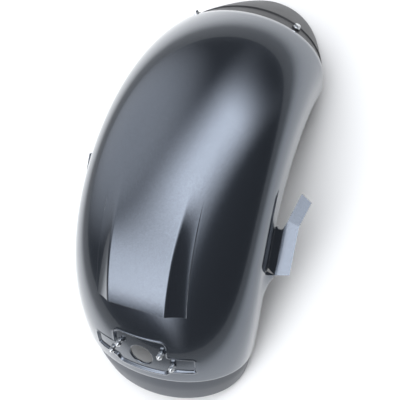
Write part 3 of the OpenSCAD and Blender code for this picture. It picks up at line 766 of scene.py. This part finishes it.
def makeFasteners():
    for name, (angle, y) in stud["places"].items():
        for sideName, side in (("left", 1), ("right", -1)):
            skin = studFrame(angle, side * y)
            r, top = stud["diameter"] / 2, stud["length"]
            radii, heights = threadRings(r, stud["pitch"], stud["threadFrom"], top - stud["threadEnd"])
            points, faces = turned([r - 0.05] + radii + [r - 0.35, r - 0.6],
                                   [0] + heights + [top - 0.25, top], roundAngles)
            addPiece(f"stud_rod_{name}_{sideName}", fromSkin(skin, points, stud["seatH"]), faces, [zincPlate],
                     [f"stud_{name}_{sideName}"])
            points, faces = nutShape(stud["nutAf"], stud["nutH"], r)
            points = fromSkin(skin, points, stud["seatH"] + stud["nutUp"])
            addPiece(f"stud_hex_{name}_{sideName}", points, faces, [zincPlate],
                     [f"stud_nut_{name}_{sideName}"])
    for sideName, side in (("left", 1), ("right", -1)):
        skin = boltFrame(side)
        r, af, top, low = bolt["diameter"] / 2, bolt["af"], bolt["headH"], -bolt["length"]
        corner, face = hexRadius(af, hexAngles), af / 2 * hexagon["headFace"]
        head = turned([corner, corner, face, face - 0.3, 2.0, 1.6],
                      [0, top - coneCut(corner, face), top, top, top, top - 0.15], hexAngles)
        radii, heights = threadRings(r, bolt["pitch"], low + bolt["threadEnd"], -bolt["threadFrom"])
        shank = turned([r - 0.7, r - 0.4] + radii + [r, r],
                       [low, low + 0.3] + heights + [0.5 - bolt["threadFrom"], 0.5], roundAngles)
        points, faces = joined([head, shank])
        addPiece(f"hex_bolt_{sideName}", fromSkin(skin, points, bolt["washerH"]), faces, [zincPlate],
                 [f"bolt_{sideName}"])
        bore, w, h = r + bolt["holeGap"], bolt["washerD"] / 2, bolt["washerH"]
        points, faces = turned([bore, bore + 0.15, w - 0.3, w - 0.08, w, w, w - 0.08, w - 0.3,
                                bore + 0.15, bore],
                               [0.15, 0, 0, 0.08, 0.3, h - 0.3, h - 0.08, h, h, h - 0.15],
                               roundAngles, ringClosed=True)
        addPiece(f"washer_disc_{sideName}", fromSkin(skin, points), faces, [zincPlate],
                 [f"washer_{sideName}"])
        points, faces = nutShape(af, bolt["nutH"], r)
        points = fromSkin(skin, points, -bolt["bossUp"] - bolt["bossDown"] - bolt["nutH"])
        addPiece(f"bolt_hex_{sideName}", points, faces, [zincPlate], [f"bolt_nut_{sideName}"])


makeFasteners()
print("fasteners made")


bracket = dict(foldRound=0.0022, foldSteps=4, foldAngles=(12, 70), foldLength=0.008, foldArea=1e-4,
               edgeRound=0.0005, edgeSteps=2, edgeAngle=40, mergeDistance=1e-6, flatAngle=0.6,
               evenWeight=100)


# A copy of the solid's mesh, merged and cleared of flat edges; folds get a wide round and rims a small one
def makeBracket(sideName):
    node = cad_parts[f"bracket_{sideName}"]
    work = bmesh.new()
    work.from_mesh(node.data)
    bmesh.ops.remove_doubles(work, verts=work.verts, dist=bracket["mergeDistance"])
    bmesh.ops.dissolve_limit(work, angle_limit=np.radians(bracket["flatAngle"]), verts=work.verts,
                             edges=work.edges)
    layer = work.edges.layers.float.new("bevel_weight_edge")
    shallow, steep = bracket["foldAngles"]
    for edge in work.edges:
        if not edge.is_manifold:
            continue
        angle = np.degrees(edge.calc_face_angle(0))
        smaller = min(face.calc_area() for face in edge.link_faces)
        long = edge.calc_length() > bracket["foldLength"]
        if shallow < angle < steep and long and smaller > bracket["foldArea"]:
            edge[layer] = 1.0
    mesh = bpy.data.meshes.new(f"side_bracket_{sideName}")
    work.to_mesh(mesh)
    work.free()
    mesh.materials.clear()
    mesh.materials.append(shellPaint)
    mesh.shade_smooth()
    piece = bpy.data.objects.new(f"side_bracket_{sideName}", mesh)
    bpy.context.scene.collection.objects.link(piece)
    folds = piece.modifiers.new("folds", "BEVEL")
    folds.limit_method, folds.width, folds.segments = "WEIGHT", bracket["foldRound"], bracket["foldSteps"]
    rims = piece.modifiers.new("rims", "BEVEL")
    rims.limit_method, rims.width, rims.segments = "ANGLE", bracket["edgeRound"], bracket["edgeSteps"]
    rims.angle_limit = np.radians(bracket["edgeAngle"])
    even = piece.modifiers.new("evenShading", "WEIGHTED_NORMAL")
    even.mode, even.weight, even.keep_sharp = "FACE_AREA", bracket["evenWeight"], False
    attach(piece, "root")
    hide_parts(f"bracket_{sideName}")


for sideName in ("left", "right"):
    makeBracket(sideName)
print("brackets made")


# The floor's near and far colours paint a pool of light round the object, with painted shade far off
studio = dict(floorPoolLit=0.92, floorFarPaintedShade=0.29, middle=(0.0, 0.08, 0.0), fadeFrom=0.49, fadeTo=1.1,
              floorSize=60.0, floorTint=(1.0, 0.985, 0.945), floorRough=0.9,
              horizon=(0.075, 0.08, 0.09), tint=(0.96, 0.99, 1.06))


def cosine(angle):
    return float(np.cos(np.radians(angle)))


def sine(angle):
    return float(np.sin(np.radians(angle)))


def softStep(nodes, links, value, low, high, top=1.0, bottom=0.0):
    node = nodes.new("ShaderNodeMapRange")
    node.interpolation_type = "SMOOTHSTEP"
    links.new(value, node.inputs["Value"])
    for socketName, number in (("From Min", low), ("From Max", high), ("To Min", bottom), ("To Max", top)):
        node.inputs[socketName].default_value = number
    return node.outputs["Result"]


def scaledColour(nodes, links, colour, scale):
    node = nodes.new("ShaderNodeVectorMath")
    node.operation = "SCALE"
    node.inputs[0].default_value = colour
    links.new(scale, node.inputs["Scale"])
    return node.outputs[0]


# A floor with a painted pool of light: pale round the object, and painted shade, darker, far off
def makeFloor():
    size = studio["floorSize"] / 2
    mesh = bpy.data.meshes.new("floor")
    corners = [(-size, -size, 0), (size, -size, 0), (size, size, 0), (-size, size, 0)]
    mesh.from_pydata(corners, [], [(0, 1, 2, 3)])
    floor = bpy.data.objects.new("floor", mesh)
    bpy.context.scene.collection.objects.link(floor)
    material, nodes, links, shader, coordinates = newMaterial("paintedPoolFloor")
    distance = nodes.new("ShaderNodeVectorMath")
    distance.operation = "DISTANCE"
    links.new(coordinates, distance.inputs[0])
    distance.inputs[1].default_value = studio["middle"]
    # Painted pool of light: the floor's colour fades from the pale near value to the painted shade far off
    fade = softStep(nodes, links, distance.outputs["Value"], studio["fadeFrom"], studio["fadeTo"],
                    studio["floorFarPaintedShade"], studio["floorPoolLit"])
    links.new(scaledColour(nodes, links, studio["floorTint"], fade), shader.inputs["Base Color"])
    shader.inputs["Roughness"].default_value = studio["floorRough"]
    shader.inputs["Specular IOR Level"].default_value = 0.0
    mesh.materials.append(material)


# The room: a dark horizon, one long soft strip of light overhead and a soft light at one side, in degrees.
# The strip runs over the object from its azimuth to the opposite side, and front and rear say over which
# angles its two ends fade in.
strip = dict(azimuth=-23, halfWidth=32, flatWidth=1, front=(6, 48), rear=(161, 149), horizonFade=0.1,
             strength=3.75)
sideLight = dict(azimuth=68, elevation=30, inner=2, outer=50, strength=1.1)


# How much of a direction lies along a vector, which is the cosine between them
def shareAlong(nodes, links, direction, vector):
    node = nodes.new("ShaderNodeVectorMath")
    node.operation = "DOT_PRODUCT"
    links.new(direction, node.inputs[0])
    node.inputs[1].default_value = vector
    return node.outputs["Value"]


def makeRoom():
    world = bpy.data.worlds.new("studio")
    bpy.context.scene.world = world
    world.use_nodes = True
    nodes, links = world.node_tree.nodes, world.node_tree.links
    nodes.clear()
    direction = nodes.new("ShaderNodeTexCoord").outputs["Generated"]
    away = shareAlong(nodes, links, direction, (-sine(strip["azimuth"]), cosine(strip["azimuth"]), 0))
    away = calculate(nodes, links, "ABSOLUTE", away)
    ahead = shareAlong(nodes, links, direction, (cosine(strip["azimuth"]), sine(strip["azimuth"]), 0))
    height = shareAlong(nodes, links, direction, (0, 0, 1))
    total = softStep(nodes, links, away, sine(strip["halfWidth"]), sine(strip["flatWidth"]),
                     strip["strength"])
    for share in (softStep(nodes, links, ahead, *map(cosine, strip["front"])),
                  softStep(nodes, links, ahead, *map(cosine, strip["rear"])),
                  softStep(nodes, links, height, 0.0, strip["horizonFade"])):
        total = calculate(nodes, links, "MULTIPLY", total, share)
    flat = cosine(sideLight["elevation"])
    near = shareAlong(nodes, links, direction, (
        flat * cosine(sideLight["azimuth"]), flat * sine(sideLight["azimuth"]), sine(sideLight["elevation"])))
    glow = softStep(nodes, links, near, cosine(sideLight["outer"]), cosine(sideLight["inner"]),
                    sideLight["strength"])
    total = calculate(nodes, links, "ADD", total, glow)
    sky = nodes.new("ShaderNodeVectorMath")
    sky.operation = "ADD"
    links.new(scaledColour(nodes, links, studio["tint"], total), sky.inputs[0])
    sky.inputs[1].default_value = studio["horizon"]
    background = nodes.new("ShaderNodeBackground")
    links.new(sky.outputs[0], background.inputs["Color"])
    output = nodes.new("ShaderNodeOutputWorld")
    links.new(background.outputs[0], output.inputs["Surface"])


view = dict(sensor=36.0, lens=68.57, clip=(0.05, 100.0), place=(-0.1322, -0.4023, 1.0921),
            right=(0.2640, -0.9074, -0.3269), down=(-0.9597, -0.2133, -0.1831),
            ahead=(0.0965, 0.3621, -0.9272))


# The camera's axes are rounded, so the nearest true rotation to them is taken
def makeCamera():
    data = bpy.data.cameras.new("camera")
    data.sensor_width, data.lens = view["sensor"], view["lens"]
    data.clip_start, data.clip_end = view["clip"]
    camera = bpy.data.objects.new("camera", data)
    bpy.context.scene.collection.objects.link(camera)
    right, down, ahead = (np.array(view[name]) for name in ("right", "down", "ahead"))
    turn = np.stack([right, -down, -ahead], 1)
    u, _, v = np.linalg.svd(turn)
    world = Matrix.Identity(4)
    for i in range(3):
        for j in range(3):
            world[i][j] = (u @ v)[i, j]
    world.translation = view["place"]
    camera.matrix_world = world
    bpy.context.scene.camera = camera


makeFloor()
makeRoom()
makeCamera()
bpy.context.scene.view_settings.view_transform = "Standard"
print("studio made")
